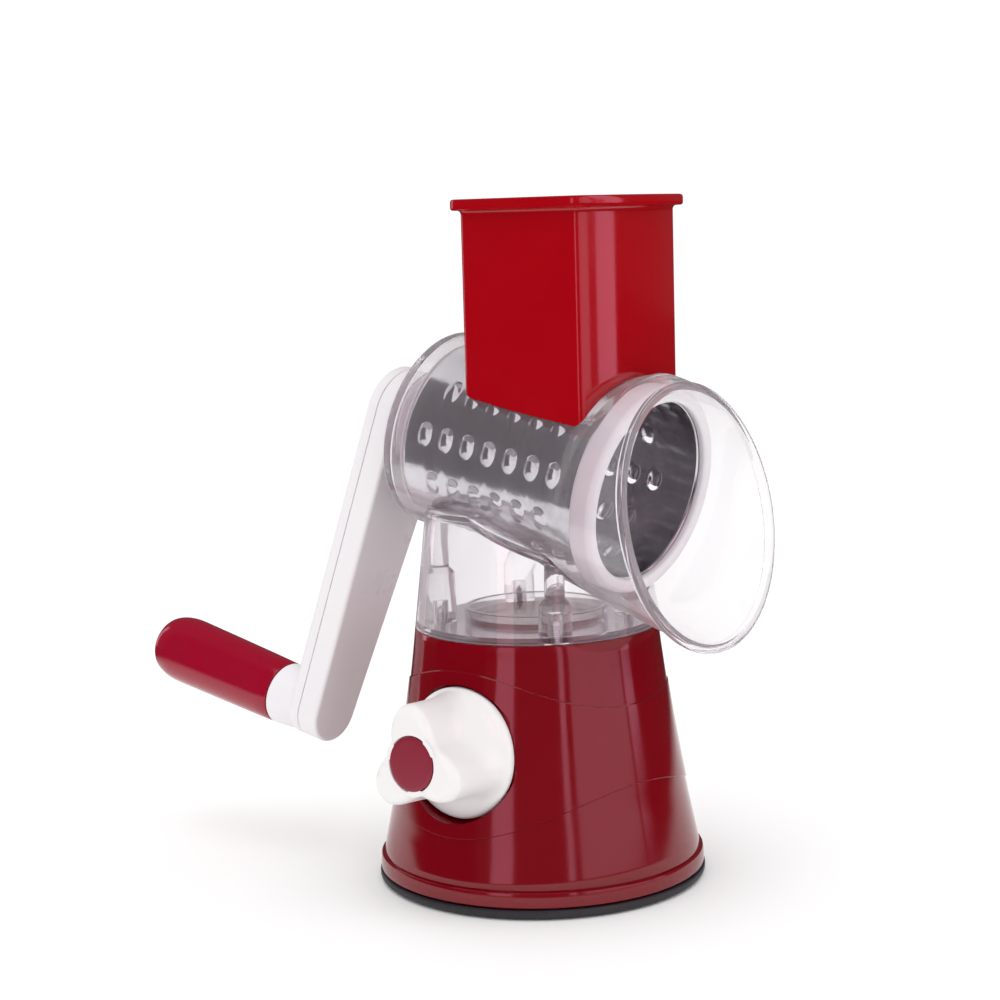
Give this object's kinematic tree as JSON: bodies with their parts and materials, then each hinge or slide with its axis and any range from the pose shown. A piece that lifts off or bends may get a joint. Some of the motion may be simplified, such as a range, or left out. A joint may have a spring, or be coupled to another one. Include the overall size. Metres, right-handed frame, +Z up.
{
  "type": "rotary drum grater",
  "caption": "Hand-cranked drum grater: a rectangular feed hopper over a clear barrel with a toothed steel drum and flared outlet, on a conical suction base with a side lock knob.",
  "frame": {"origin": "centre of the suction pad's underside, on the table", "axes": "+Z up, +X towards the flared outlet, -Y towards the lock knob; the crank is at the -X end"},
  "size_m": [0.2272, 0.1252, 0.23],
  "materials": {
    "red_plastic": "glossy moulded plastic",
    "white_plastic": "semi-gloss moulded plastic",
    "clear_plastic": "clear glossy moulded plastic",
    "steel": "bright stainless steel",
    "rubber": "matte black rubber"
  },
  "bodies": {
    "base": {"suction_pad": "rubber", "base_shell": "red_plastic", "clear_housing": "clear_plastic", "hopper": "red_plastic", "housing_screw_1": "steel", "housing_screw_2": "steel", "housing_screw_3": "steel", "housing_screw_4": "steel"},
    "lift": {"pad_insert": "steel", "lift_stem": "white_plastic", "stem_pin": "steel"},
    "knob": {"knob_shaft": "steel", "shaft_clip": "steel", "lock_knob": "white_plastic", "knob_cap": "red_plastic", "knob_screw": "steel"},
    "crank": {"drum_sleeve": "steel", "drum_ring": "white_plastic", "drum_hub": "white_plastic", "crank_arm": "white_plastic", "crank_cover": "white_plastic", "cover_screw_1": "steel", "cover_screw_2": "steel", "latch_spring": "steel", "grip_axle": "steel", "grip_washer": "steel", "grip_screw": "steel"},
    "latch": {"latch_slider": "red_plastic"},
    "grip": {"grip": "red_plastic", "grip_plug": "white_plastic"}
  },
  "joints": [
    {"name": "crank_spin", "type": "hinge", "parent": "base", "child": "crank", "pos_m": [0, 0, 0.1444], "axis": [0.9781, 0, -0.2079], "continuous": true},
    {"name": "grip_spin", "type": "hinge", "parent": "crank", "child": "grip", "pos_m": [-0.02183, -0.02735, 0.0417], "axis": [0.9781, 0, -0.2079], "continuous": true},
    {"name": "latch_slide", "type": "slide", "parent": "crank", "child": "latch", "axis": [-0.2012, -0.2521, -0.9466], "range_m": [0, 0.0035], "stiffness_N_per_m": 400, "springref_m": -0.002, "deforming": ["latch_spring"]},
    {"name": "knob_turn", "type": "hinge", "parent": "base", "child": "knob", "pos_m": [0, 0, 0.0478], "axis": [0, 0.998, -0.0628], "range_deg": [0, 90]},
    {"name": "pad_lift", "type": "slide", "parent": "base", "child": "lift", "axis": [0, 0, 1], "range_m": [0, 0.00297]}
  ],
  "couplings": [
    {"joint": "knob_turn", "follows": "pad_lift", "rad_per_m": 528.8}
  ]
}
